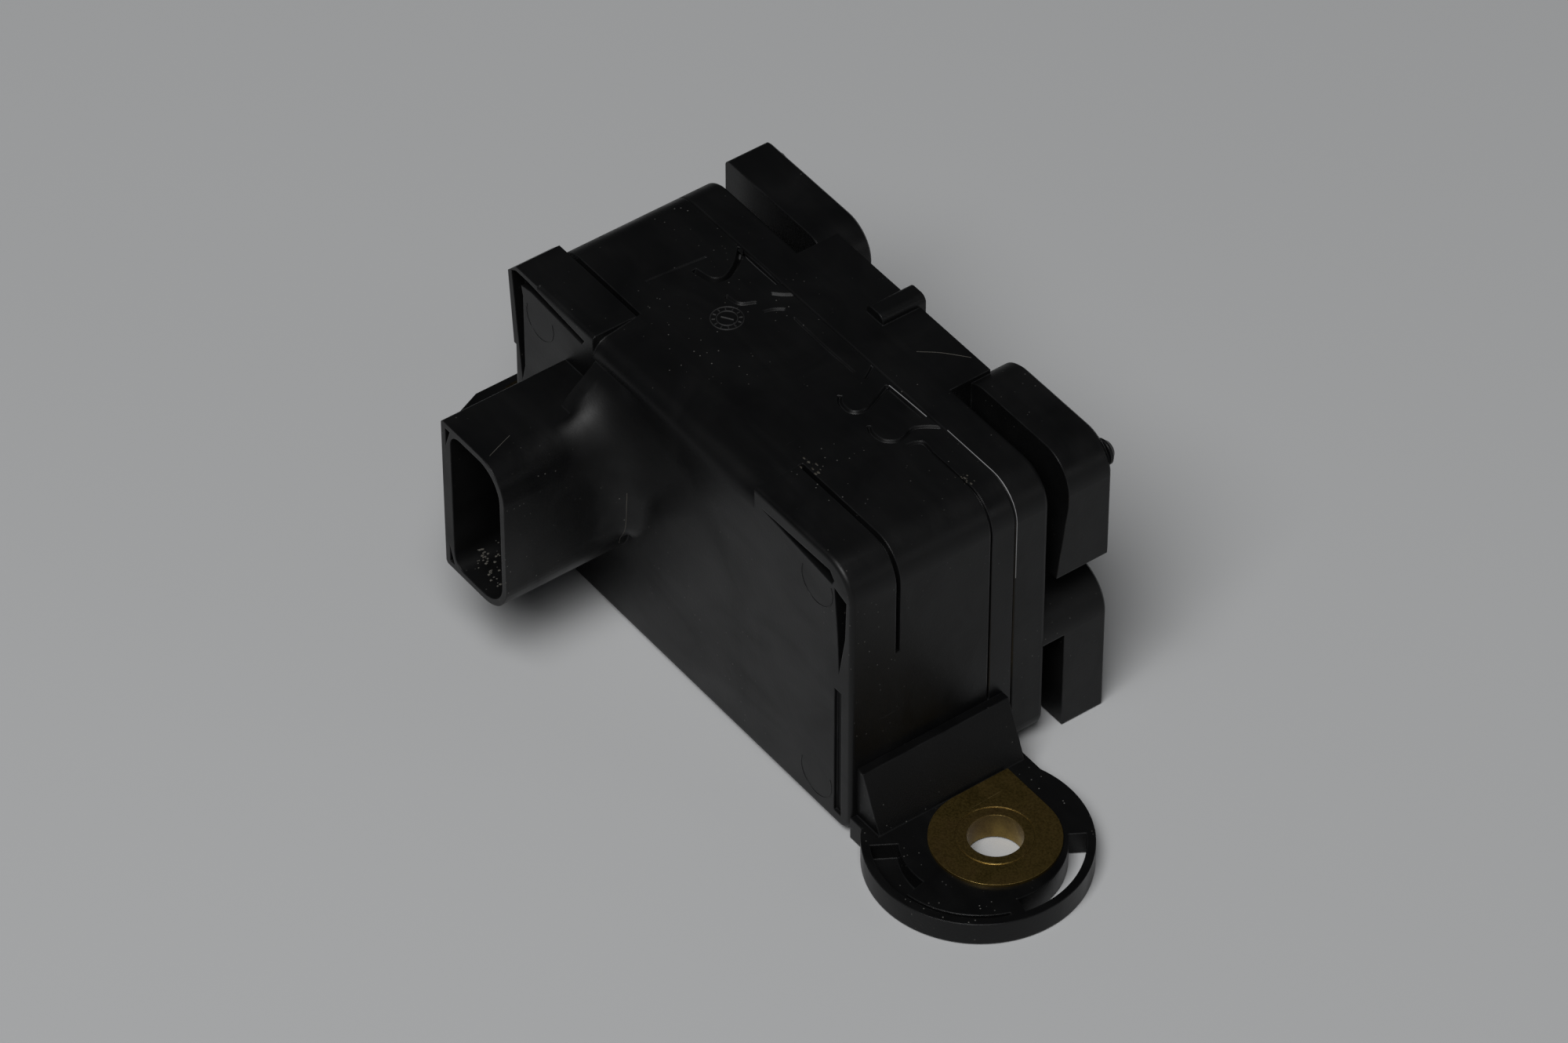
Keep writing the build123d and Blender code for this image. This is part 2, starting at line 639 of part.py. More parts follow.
# Contacts: blades that pass the front wall and end behind the board
for index in range(CONTACTS):
    contact_z = SOCKET_Z + (index - (CONTACTS - 1) / 2) * CONTACT_PITCH
    with BuildPart() as contact:
        with BuildSketch(wall_plane(BOARD_BACK_Y + CONTACT_TAIL)):
            with Locations((SOCKET_X, contact_z)):
                Rectangle(CONTACT_T, CONTACT_W)
        extrude(amount=BOARD_BACK_Y + CONTACT_TAIL - MOUTH_Y - CONTACT_TIP)
        chamfer(contact.edges().group_by(Axis.Y)[0].filter_by(Axis.X), CONTACT_POINT)
    save(contact.part, f"contact_{index + 1}")

# Board
with BuildPart() as circuit_board:
    with BuildSketch(wall_plane(BOARD_BACK_Y)):
        with Locations((BOARD_X, BOARD_Z)):
            RectangleRounded(BOARD_W, BOARD_H, BOARD_R)
            with GridLocations(2 * POST_DX, 2 * POST_DZ, 2, 2):
                Circle(SCREW_R + SCREW_GAP, mode=Mode.SUBTRACT)
        with Locations((SOCKET_X, SOCKET_Z)):
            with GridLocations(1, CONTACT_PITCH, 1, CONTACTS):
                Rectangle(CONTACT_T + 2 * CONTACT_GAP, CONTACT_W + 2 * CONTACT_GAP, mode=Mode.SUBTRACT)
    extrude(amount=BOARD_T)
save(circuit_board.part, "circuit_board")

# Rubber dampers between posts and board
for index, (dx, dz) in enumerate(((-1, -1), (1, -1), (-1, 1), (1, 1))):
    with BuildPart() as damper:
        with BuildSketch(wall_plane(BOARD_Y)):
            with Locations((BOARD_X + dx * POST_DX, BOARD_Z + dz * POST_DZ)):
                Circle(DAMPER_R)
                Circle(DAMPER_BORE_R, mode=Mode.SUBTRACT)
        extrude(amount=DAMPER_T)
    save(damper.part, f"damper_{index + 1}")

# Screws of the board
with BuildPart() as board_screws:
    with BuildSketch(wall_plane(BOARD_BACK_Y + SCREW_HEAD_T)):
        with Locations((BOARD_X, BOARD_Z)):
            with GridLocations(2 * POST_DX, 2 * POST_DZ, 2, 2):
                Circle(SCREW_HEAD_R)
    extrude(amount=SCREW_HEAD_T)
    with BuildSketch(wall_plane(BOARD_BACK_Y)):
        with Locations((BOARD_X, BOARD_Z)):
            with GridLocations(2 * POST_DX, 2 * POST_DZ, 2, 2):
                Circle(SCREW_R)
    extrude(amount=SCREW_LENGTH)
    with BuildSketch(wall_plane(BOARD_BACK_Y + SCREW_HEAD_T)):
        with Locations((BOARD_X, BOARD_Z)):
            with GridLocations(2 * POST_DX, 2 * POST_DZ, 2, 2):
                RegularPolygon(SCREW_KEY_R, 6)
    extrude(amount=SCREW_KEY_DEPTH, mode=Mode.SUBTRACT)
save(board_screws.part, "board_screws")

# Packages on both faces of the board
for parts, front in ((BACK_PARTS, False), (FRONT_PARTS, True)):
    for name, dx, dz, width, height, thick in parts:
        with BuildPart() as package:
            with BuildSketch(wall_plane(BOARD_Y if front else BOARD_BACK_Y + thick)):
                with Locations((BOARD_X + dx, BOARD_Z + dz)):
                    Rectangle(width, height)
            extrude(amount=thick)
            outer = package.faces().sort_by(Axis.Y)[0 if front else -1]
            chamfer(outer.edges(), PACKAGE_CHAMFER)
        save(package.part, name)

# Buffer capacitor: a can on a square foot
with BuildPart() as buffer_capacitor:
    with BuildSketch(wall_plane(BOARD_Y)):
        with Locations((BOARD_X + CAPACITOR_X, BOARD_Z + CAPACITOR_Z)):
            Rectangle(CAPACITOR_FOOT, CAPACITOR_FOOT)
    extrude(amount=CAPACITOR_FOOT_T)
    with BuildSketch(wall_plane(BOARD_Y - CAPACITOR_FOOT_T)):
        with Locations((BOARD_X + CAPACITOR_X, BOARD_Z + CAPACITOR_Z)):
            Circle(CAPACITOR_R)
    extrude(amount=CAPACITOR_H)
save(buffer_capacitor.part, "buffer_capacitor")

# Small chips: the first rows on the front face, the second on the back
for (name, dx, dz, thick), plane_y in zip(CHIP_ROWS, (BOARD_Y, BOARD_BACK_Y + CHIP_ROWS[1][3])):
    with BuildPart() as chips:
        with BuildSketch(wall_plane(plane_y)):
            with Locations((BOARD_X + dx, BOARD_Z + dz)):
                with GridLocations(CHIP_PITCH_X, CHIP_PITCH_Z, 3, 2):
                    Rectangle(CHIP_W, CHIP_H)
        extrude(amount=thick)
    save(chips.part, name)

# Shielding can over the two sensing elements
with BuildPart() as shield_can:
    with BuildSketch(wall_plane(BOARD_BACK_Y + SHIELD_DEPTH)):
        with Locations((BOARD_X + SHIELD_X, BOARD_Z)):
            Rectangle(SHIELD_W, SHIELD_H)
    extrude(amount=SHIELD_DEPTH)
    with BuildSketch(wall_plane(BOARD_BACK_Y + SHIELD_DEPTH - SHIELD_T)):
        with Locations((BOARD_X + SHIELD_X, BOARD_Z)):
            Rectangle(SHIELD_W - 2 * SHIELD_T, SHIELD_H - 2 * SHIELD_T)
    extrude(amount=SHIELD_DEPTH - SHIELD_T, mode=Mode.SUBTRACT)
save(shield_can.part, "shield_can")

# Seal in the groove between the housings
with BuildPart() as seal_ring:
    with BuildSketch(wall_plane(SEAM_Y)):
        add(end_outline(WALL / 2 - SEAL_W / 2, BOTTOM_Z))
        add(end_outline(WALL / 2 + SEAL_W / 2, BOTTOM_Z), mode=Mode.SUBTRACT)
    extrude(amount=SEAL_H)
save(seal_ring.part, "seal_ring")

# Vent membrane inside the back
with BuildPart() as vent_membrane:
    with BuildSketch(wall_plane(BACK_MID_Y - BACK_WALL)):
        with Locations((MID_X, BOARD_Z)):
            Circle(MEMBRANE_R)
    extrude(amount=MEMBRANE_T)
save(vent_membrane.part, "vent_membrane")
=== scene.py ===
import json
import math
import random

import bmesh
import bpy
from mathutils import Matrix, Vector
from mathutils.bvhtree import BVHTree


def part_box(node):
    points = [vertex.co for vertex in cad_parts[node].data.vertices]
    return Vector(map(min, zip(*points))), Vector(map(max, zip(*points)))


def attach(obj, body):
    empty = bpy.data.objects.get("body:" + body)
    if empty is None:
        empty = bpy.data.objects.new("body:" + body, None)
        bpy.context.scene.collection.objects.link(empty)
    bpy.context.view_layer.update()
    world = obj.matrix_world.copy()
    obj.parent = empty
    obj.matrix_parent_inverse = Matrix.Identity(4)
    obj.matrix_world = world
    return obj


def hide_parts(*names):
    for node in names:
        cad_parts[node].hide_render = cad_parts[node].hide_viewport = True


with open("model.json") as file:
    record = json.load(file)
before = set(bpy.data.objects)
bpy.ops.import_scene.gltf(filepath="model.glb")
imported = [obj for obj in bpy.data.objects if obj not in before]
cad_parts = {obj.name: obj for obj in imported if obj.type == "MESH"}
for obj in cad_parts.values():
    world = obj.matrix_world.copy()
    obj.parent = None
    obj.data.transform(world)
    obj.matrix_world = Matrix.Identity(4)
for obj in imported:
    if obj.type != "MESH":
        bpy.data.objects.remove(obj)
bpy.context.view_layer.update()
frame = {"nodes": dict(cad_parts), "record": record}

MM = 0.001
UP = Vector((0, 0, 1))
OUT = Vector((0, -1, 0))
nodes = frame["nodes"]
rng = random.Random(7)
scene = bpy.context.scene

# Surfaces and places on the model, in millimetres, that the fine details share
TOP_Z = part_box("front_housing")[1].z / MM
FRONT_Y = -11.0
NEAR_X = 31.6
NEAR_TOP_R = 4.5
SHROUD_TOP = 32.5
SOCKET_FLOOR = 13.3
SHROUD_CREST = (-7.0, -13.5, 30.0)
# Box round the hollow blend of the shroud, which is evened out
SHROUD_BLEND = ((-14.0, -22.5, 12.0), (6.0, -11.05, 38.0))

# Tones of worn and dusty plastic, and of the painted shade in the shroud's hollow blend
SCUFFED = (0.055, 0.056, 0.058)
RUBBED = (0.05, 0.051, 0.053)
DUSTY = (0.15, 0.146, 0.138)
PAINTED_SHADE = (0.0006, 0.0006, 0.0007)

# Rounding of the plastic's edges and of the shroud's blend, in metres
EDGE_R = 0.00022
BLEND_R = 0.0022


class Finish:
    """Node material, with short calls for the nodes that the finishes share."""

    def __init__(self, name, colour, roughness, metallic=0.0, specular=0.5):
        self.material = bpy.data.materials.new(name)
        self.material.use_nodes = True
        self.tree = self.material.node_tree
        self.tree.nodes.clear()
        output = self.tree.nodes.new("ShaderNodeOutputMaterial")
        self.shader = self.tree.nodes.new("ShaderNodeBsdfPrincipled")
        self.tree.links.new(self.shader.outputs["BSDF"], output.inputs["Surface"])
        self.shader.inputs["Base Color"].default_value = (*colour, 1.0)
        self.shader.inputs["Roughness"].default_value = roughness
        self.shader.inputs["Metallic"].default_value = metallic
        self.shader.inputs["Specular IOR Level"].default_value = specular
        self.coords = self.tree.nodes.new("ShaderNodeTexCoord").outputs["Object"]

    def put(self, socket, value):
        """Links value to the socket if it's a socket too, and sets it otherwise."""
        if isinstance(value, bpy.types.NodeSocket):
            self.tree.links.new(value, socket)
        elif socket.type == "RGBA":
            socket.default_value = (*value, 1.0)
        else:
            socket.default_value = value

    def node(self, kind, output, inputs, **settings):
        made = self.tree.nodes.new(kind)
        for key, value in settings.items():
            setattr(made, key, value)
        for key, value in inputs.items():
            self.put(made.inputs[key], value)
        return made.outputs[output]

    def stretched(self, scale, turn):
        inputs = {"Vector": self.coords, "Scale": scale, "Rotation": turn}
        return self.node("ShaderNodeMapping", "Vector", inputs)

    def noise(self, scale, detail, vector=None, distortion=0.0):
        inputs = {"Vector": vector or self.coords, "Scale": scale, "Detail": detail}
        return self.node("ShaderNodeTexNoise", "Fac", {**inputs, "Distortion": distortion})

    def cells(self, scale, vector=None):
        inputs = {"Vector": vector or self.coords, "Scale": scale}
        return self.node("ShaderNodeTexVoronoi", "Distance", inputs)

    def weave(self, scale, distortion=0.0):
        """Waves along X that cross waves along Z."""
        inputs = {"Vector": self.coords, "Scale": scale, "Distortion": distortion}
        warp = self.node("ShaderNodeTexWave", "Fac", inputs)
        weft = self.node("ShaderNodeTexWave", "Fac", inputs, bands_direction="Z")
        return self.calc("MULTIPLY", warp, weft)

    def span(self, value, low, high, to_low=0.0, to_high=1.0):
        """Value moved from the range low..high to to_low..to_high."""
        ends = {"From Min": low, "From Max": high, "To Min": to_low, "To Max": to_high}
        return self.node("ShaderNodeMapRange", "Result", {"Value": value, **ends})

    def calc(self, operation, a, b):
        return self.node("ShaderNodeMath", 0, {0: a, 1: b}, operation=operation)

    def blend(self, factor, a, b):
        made = self.tree.nodes.new("ShaderNodeMix")
        made.data_type = "RGBA"
        self.put(made.inputs["Factor"], factor)
        self.put(made.inputs["A"], a)
        self.put(made.inputs["B"], b)
        return next(o for o in made.outputs if o.type == "RGBA")

    def tint(self, ground, mask, amount, colour):
        """Ground with colour laid over it, as strong as mask times amount."""
        return self.blend(self.calc("MULTIPLY", mask, amount), ground, colour)

    def rounded(self, radius):
        """Normal that rounds off every edge by radius."""
        return self.node("ShaderNodeBevel", "Normal", {"Radius": radius}, samples=4)

    def edges(self, radius):
        """1 on edges and 0 on flat ground."""
        true_normal = self.node("ShaderNodeNewGeometry", "Normal", {})
        inputs = {0: true_normal, 1: self.rounded(radius)}
        level = self.node("ShaderNodeVectorMath", "Value", inputs, operation="DOT_PRODUCT")
        return self.span(level, 0.97, 0.6)

    def near(self, place, inner, outer):
        """1 within inner of a place and 0 beyond outer, all in millimetres."""
        inputs = {0: self.coords, 1: tuple(c * MM for c in place)}
        away = self.node("ShaderNodeVectorMath", "Value", inputs, operation="DISTANCE")
        return self.span(away, outer * MM, inner * MM)

    def bumps(self, normal, *layers):
        """Lays bump layers over a normal: height, depth in metres and strength of each."""
        for height, depth, strength in layers:
            inputs = {"Height": height, "Distance": depth, "Strength": strength, "Normal": normal}
            normal = self.node("ShaderNodeBump", "Normal", inputs)
        self.put(self.shader.inputs["Normal"], normal)

    def scuffs(self, one, two):
        """Thin straight scuffs in two directions, noise drawn out along each and clipped.

        Each direction has a scale, a turn and the level at which the noise is clipped.
        """
        layers = []
        for scale, turn, level in (one, two):
            drawn = self.noise(1.0, 2.0, self.stretched((scale, scale * 0.05, scale), turn), 0.6)
            layers.append(self.span(drawn, level, level + 0.03))
        return self.calc("MAXIMUM", *layers)

    def colour(self, value):
        self.put(self.shader.inputs["Base Color"], value)

    def roughness(self, value):
        self.put(self.shader.inputs["Roughness"], value)


def black_plastic(name, seed, tone, rough, grain, blend_at=None, clean=0.48):
    """Moulded glass-filled plastic: fine grain, flow clouds, scuffs, dust and rubbed edges.

    All edges are rounded off a little. Round blend_at, where the shape is hollow and smooth, they
    are rounded far more, the ground is darker with painted shade and the surface is duller. The
    lower clean is, the more dust lies on the surface.
    """
    made = Finish(name, (tone, tone, tone * 1.08), rough, specular=0.25)
    radius = EDGE_R
    shift = made.stretched((1.0, 1.0, 1.0), (0.3 * seed, 0.2 * seed, 0.5 * seed))
    clouds = made.noise(95.0, 5.0, shift, 0.8)
    grit = made.noise(5200.0, 3.0)
    pits = made.cells(2600.0)
    flow = made.noise(1.0, 4.0, made.stretched((60.0, 260.0, 140.0), (0.2, 0.1, 0.1 * seed)), 1.2)
    scuffs = made.scuffs(
        (900.0, (0.2, 0.4, 0.9 + seed), 0.79),
        (700.0, (1.1, 0.3, 2.2 + seed), 0.8),
    )
    specks = made.calc(
        "MULTIPLY",
        made.span(made.cells(1000.0, shift), 0.1, 0.05),
        made.span(made.noise(85.0, 4.0, shift), clean, clean + 0.2),
    )
    worn = made.span(made.noise(330.0, 4.0), 0.35, 0.7)
    rubbed = made.calc("MULTIPLY", made.edges(0.00028), worn)

    dark = (tone * 0.8, tone * 0.82, tone * 0.88)
    light = (tone * 1.35, tone * 1.37, tone * 1.4)
    ground = made.blend(made.span(clouds, 0.3, 0.72), dark, light)
    ground = made.tint(ground, scuffs, 0.35, SCUFFED)
    ground = made.tint(ground, rubbed, 0.45, RUBBED)
    ground = made.tint(ground, specks, 0.7, DUSTY)
    level = made.calc(
        "ADD",
        made.span(clouds, 0.25, 0.75, rough - 0.07, rough + 0.09),
        made.span(flow, 0.3, 0.7, -0.05, 0.05),
    )
    level = made.calc("SUBTRACT", level, made.calc("MULTIPLY", rubbed, 0.14))
    if blend_at:
        zone = made.near(blend_at, 5.0, 8.5)
        radius = made.span(zone, 0.0, 1.0, EDGE_R, BLEND_R)
        # Painted shade: the ground is darkened round the hollow blend
        ground = made.tint(ground, zone, 0.75, PAINTED_SHADE)
        level = made.calc("ADD", level, made.calc("MULTIPLY", zone, 0.16))
    made.colour(ground)
    made.roughness(level)
    made.bumps(
        made.rounded(radius),
        (clouds, 0.00012, 0.12),
        (flow, 0.00006, 0.18),
        (grit, 0.00003, grain),
        (pits, 0.00002, grain * 0.7),
        (scuffs, 0.00002, 0.25),
    )
    return made.material


def metal(name, colour, rough, stained=0.35):
    """Worked metal: brushing, soft stains and brighter rubbed edges."""
    made = Finish(name, colour, rough, metallic=1.0)
    drawn = made.noise(1.0, 4.0, made.stretched((400.0, 4200.0, 400.0), (0.1, 0.2, 0.6)))
    stains = made.noise(260.0, 6.0, distortion=0.7)
    stain = tuple(c * 0.55 for c in colour)
    bright = tuple(min(1.0, c * 1.35) for c in colour)
    ground = made.tint(colour, made.span(stains, 0.42, 0.68), stained, stain)
    made.colour(made.tint(ground, made.edges(0.00015), 0.4, bright))
    made.roughness(made.calc(
        "ADD",
        made.span(stains, 0.3, 0.7, rough - 0.06, rough + 0.12),
        made.span(drawn, 0.3, 0.7, -0.05, 0.05),
    ))
    made.bumps(made.rounded(0.0001), (drawn, 0.00002, 0.3), (stains, 0.00003, 0.15))
    return made.material


def brass(name, darken=0.0):
    """Dull pressed brass: tumbled dents, dark tarnish, a few bright rub marks and an even
    darkening.
    """
    made = Finish(name, (0.26, 0.18, 0.06), 0.42, metallic=1.0)
    tarnish = made.noise(210.0, 6.0, distortion=0.9)
    dents = made.noise(900.0, 4.0)
    grit = made.noise(4200.0, 3.0)
    rubs = made.scuffs((1100.0, (0.0, 0.0, 0.5), 0.76), (900.0, (0.0, 0.0, 1.9), 0.77))
    worn = made.calc("MULTIPLY", made.edges(0.0001), made.span(dents, 0.5, 0.62))
    ground = made.blend(made.span(tarnish, 0.35, 0.7), (0.3, 0.21, 0.062), (0.13, 0.085, 0.03))
    ground = made.tint(ground, made.span(grit, 0.55, 0.7), 0.3, (0.1, 0.075, 0.035))
    ground = made.tint(ground, made.calc("MAXIMUM", rubs, worn), 0.5, (0.6, 0.45, 0.18))
    # The whole brass is darkened evenly towards near-black, as much as the given amount
    made.colour(made.blend(darken, ground, (0.03, 0.026, 0.02)))
    made.roughness(made.calc(
        "ADD",
        made.span(tarnish, 0.3, 0.7, 0.34, 0.5),
        made.span(grit, 0.3, 0.7, -0.05, 0.06),
    ))
    made.bumps(
        made.rounded(0.00008),
        (dents, 0.00004, 0.3),
        (grit, 0.00002, 0.35),
        (rubs, 0.00002, 0.3),
    )
    return made.material


def matte(name, colour, rough, grain_scale, grain=0.4, mottle=0.25):
    """Ceramic, rubber and moulded packages: mottled colour and a fine grain."""
    made = Finish(name, colour, rough)
    clouds = made.noise(grain_scale * 0.1, 4.0, distortion=0.4)
    grit = made.noise(grain_scale, 3.0)
    dark = tuple(c * (1.0 - mottle) for c in colour)
    light = tuple(min(1.0, c * 1.8 + 0.02) for c in colour)
    ground = made.blend(made.span(clouds, 0.35, 0.65), dark, colour)
    made.colour(made.tint(ground, made.edges(0.00012), 0.25, light))
    made.roughness(made.span(clouds, 0.3, 0.7, rough - 0.08, rough + 0.08))
    made.bumps(made.rounded(0.0001), (grit, 0.00003, grain))
    return made.material


def laminate(name):
    """Circuit board: green resist over copper tracks, with a woven ground."""
    made = Finish(name, (0.02, 0.14, 0.06), 0.35)
    tracks = made.span(made.cells(520.0), 0.32, 0.36)
    weave = made.weave(700.0, 0.4)
    ground = made.blend(tracks, (0.018, 0.1, 0.045), (0.03, 0.19, 0.08))
    made.colour(made.tint(ground, weave, 0.2, (0.05, 0.22, 0.1)))
    made.roughness(made.span(weave, 0.0, 1.0, 0.3, 0.42))
    made.bumps(made.rounded(0.0001), (tracks, 0.00003, 0.4), (weave, 0.00001, 0.3))
    return made.material


def woven(name):
    """Vent membrane: a fine white weave."""
    made = Finish(name, (0.8, 0.8, 0.78), 0.75)
    weave = made.weave(2200.0)
    made.colour(made.blend(weave, (0.62, 0.62, 0.6), (0.84, 0.84, 0.82)))
    made.roughness(made.span(weave, 0.0, 1.0, 0.82, 0.68))
    made.bumps(made.rounded(0.00008), (weave, 0.00003, 0.6))
    return made.material


FINISHES = {
    "front_plastic": black_plastic(
        "front_plastic", seed=1, tone=0.0031, rough=0.38, grain=0.22, blend_at=SHROUD_CREST),
    "back_plastic": black_plastic("back_plastic", seed=2, tone=0.003, rough=0.41, grain=0.26),
    "ear_plastic": black_plastic(
        "ear_plastic", seed=3, tone=0.0024, rough=0.36, grain=0.3, clean=0.4),
    "brass": brass("tarnished_brass"),
    "darkened_brass": brass("darkened_brass", darken=0.85),
    # Pale grey that is a painted highlight on the flash beside the seams
    "painted_seam_highlight": matte("painted_seam_highlight", (0.26, 0.26, 0.265), 0.42, 3000.0),
    "gate_flash": matte("gate_flash", (0.035, 0.031, 0.023), 0.6, 3600.0, grain=0.5, mottle=0.6),
    "scuffed_marks": matte(
        "scuffed_marks", (0.012, 0.012, 0.0123), 0.5, 2200.0, grain=0.6, mottle=0.85),
    "dust": matte("dust", (0.075, 0.07, 0.06), 0.8, 3600.0, grain=0.6, mottle=0.5),
    "contact_metal": metal("tinned_contact", (0.5, 0.49, 0.46), 0.38, stained=0.6),
    "board_laminate": laminate("board_laminate"),
    "damper_rubber": matte("damper_rubber", (0.02, 0.02, 0.021), 0.7, 3000.0),
    "screw_steel": metal("zinc_steel", (0.55, 0.55, 0.57), 0.34),
    "element_can": metal("satin_can", (0.62, 0.62, 0.6), 0.3),
    "chip_plastic": matte("chip_plastic", (0.025, 0.025, 0.028), 0.5, 3600.0),
    "choke_ceramic": matte("choke_ceramic", (0.12, 0.11, 0.11), 0.6, 2600.0),
    "capacitor_can": metal("drawn_aluminium", (0.72, 0.72, 0.74), 0.28),
    "capacitor_ceramic": matte("capacitor_ceramic", (0.5, 0.4, 0.28), 0.5, 2600.0),
    "resistor_ceramic": matte("resistor_ceramic", (0.08, 0.08, 0.09), 0.45, 2600.0),
    "shield_steel": metal("tinned_sheet", (0.66, 0.66, 0.65), 0.3),
    "seal_rubber": matte("seal_rubber", (0.03, 0.03, 0.031), 0.65, 3000.0),
    "membrane": woven("vent_weave"),
}
# Nodes whose finish isn't the one named like their slot
FINISH_OF = {
    "front_housing": "front_plastic",
    "back_housing": "back_plastic",
    "ear_near": "ear_plastic",
    "ear_far": "ear_plastic",
    "bush_far": "darkened_brass",
}

slot_of = {part["node"]: part["material_slot"] for part in frame["record"]["subparts"]}
for name, made in nodes.items():
    made.data.materials.clear()
    made.data.materials.append(FINISHES[FINISH_OF.get(name, slot_of[name])])

# Angles between faces, in radians, above which an edge is sharp
SHARP = 0.6
SHELL_SHARP = 0.5
BLEND_SHARP = 1.2
CRUMB_SHARP = 1.0


def new_object(name, mesh, finish):
    made = bpy.data.objects.new(name, mesh)
    scene.collection.objects.link(made)
    mesh.materials.clear()
    mesh.materials.append(FINISHES[finish])
    return made


def in_box(point, box):
    return all(low < c < high for c, low, high in zip(point, *box))


def finish_mesh(bm, name, sharp=SHARP, soft_box=None):
    """Mesh with sharp edges where faces turn, but softer ones inside soft_box."""
    bmesh.ops.recalc_face_normals(bm, faces=bm.faces)
    mesh = bpy.data.meshes.new(name)
    for face in bm.faces:
        face.smooth = True
    for edge in bm.edges:
        soft = soft_box and all(in_box(vert.co / MM, soft_box) for vert in edge.verts)
        limit = BLEND_SHARP if soft else sharp
        edge.smooth = not (len(edge.link_faces) == 2 and edge.calc_face_angle(0.0) > limit)
    bm.to_mesh(mesh)
    bm.free()
    return mesh


def smooth_line(points, steps=6):
    """Points on a smooth curve through the given ones."""
    ends = [2 * points[0] - points[1], *points, 2 * points[-1] - points[-2]]
    out = []
    for a, b, c, d in zip(ends, ends[1:], ends[2:], ends[3:]):
        for k in range(steps):
            t = k / steps
            bend = (2 * a - 5 * b + 4 * c - d) * t * t + (3 * b - a - 3 * c + d) * t ** 3
            out.append(0.5 * (2 * b + (c - a) * t + bend))
    return out + [points[-1]]


def around(centre, radius, angles):
    """Points on a flat circle."""
    return [(centre[0] + radius * math.cos(a), centre[1] + radius * math.sin(a)) for a in angles]


def turns(parts, count):
    """Angles of count points on a circle that is divided into parts."""
    return [math.tau * k / parts for k in range(count)]


def on_top(points):
    return [Vector((x, y, TOP_Z)) * MM for x, y in points]


def on_front(points):
    return [Vector((x, FRONT_Y, z)) * MM for x, z in points]


def vee(width, depth):
    """Profile of a cutter that leaves a groove of that width and depth."""
    over = 0.05 * MM
    w, d = width * MM / 2, depth * MM
    brim = w * (1 + over / d)
    return ((-brim, over), (brim, over), (0.0, -d))


def half_round(width, height, sides=5):
    """Profile of a low rounded ridge that stands on a surface."""
    w, h, sink = width * MM / 2, height * MM, -0.03 * MM
    arc = [math.pi * k / sides for k in range(sides + 1)]
    return [(math.cos(a) * w, math.sin(a) * h) for a in arc] + [(-w, sink), (w, sink)]


WIRE = around((0.0, 0.0), 0.05 * MM, turns(6, 6))


def sweep(bm, points, profile, up):
    """Closed bar along points: profile is (sideways, upwards) corners, up the surface normal."""
    rings = []
    last = len(points) - 1
    for k, point in enumerate(points):
        along = (points[min(k + 1, last)] - points[max(k - 1, 0)]).normalized()
        side = along.cross(up).normalized()
        rings.append([bm.verts.new(point + side * s + up * u) for s, u in profile])
    for one, two in zip(rings, rings[1:]):
        for k in range(len(profile)):
            j = (k + 1) % len(profile)
            bm.faces.new((one[k], one[j], two[j], two[k]))
    bm.faces.new(rings[0])
    bm.faces.new(rings[-1][::-1])


def welded(node):
    """Mesh of a CAD node with its seams joined, ready for cutting."""
    bm = bmesh.new()
    bm.from_mesh(nodes[node].data)
    bmesh.ops.remove_doubles(bm, verts=bm.verts, dist=0.0005 * MM)
    return bm


def in_socket(place):
    """True within the shroud's walls, whose inner faces stay as they are."""
    return place.x < -11.2 and 10.9 < place.z < 32.1 and place.x + place.z < 19.0


def soften(bm, box, passes=4, longest=0.7, rounds=60):
    """Evens out the shape in a box in millimetres.

    In each pass the edges over longest are divided. In each round all vertices move towards their
    neighbours.
    """
    def moves(vert):
        place = vert.co / MM
        return in_box(place, box) and not in_socket(place)

    for _ in range(passes):
        long_edges = [
            e for e in bm.edges
            if e.calc_length() > longest * MM and any(moves(v) for v in e.verts)
        ]
        bmesh.ops.subdivide_edges(bm, edges=long_edges, cuts=1)
        bmesh.ops.triangulate(bm, faces=[f for f in bm.faces if len(f.verts) > 3])
    axes = {"use_axis_x": True, "use_axis_y": True, "use_axis_z": True}
    for _ in range(rounds):
        bmesh.ops.smooth_vert(bm, verts=[v for v in bm.verts if moves(v)], factor=0.5, **axes)


def cut(name, mesh, tool, finish):
    """Object with the tool's shape taken out of mesh and the shroud's blend evened out."""
    work = bpy.data.objects.new(name + "_uncut", mesh)
    scene.collection.objects.link(work)
    scene.collection.objects.link(tool)
    modifier = work.modifiers.new("cut", "BOOLEAN")
    modifier.operation = "DIFFERENCE"
    modifier.solver = "MANIFOLD"
    modifier.object = tool
    shape = bpy.data.meshes.new_from_object(
        work.evaluated_get(bpy.context.evaluated_depsgraph_get()))
    for gone in (work, tool):
        bpy.data.objects.remove(gone)
    bm = bmesh.new()
    bm.from_mesh(shape)
    soften(bm, SHROUD_BLEND)
    return new_object(name, finish_mesh(bm, name, SHELL_SHARP, SHROUD_BLEND), finish)


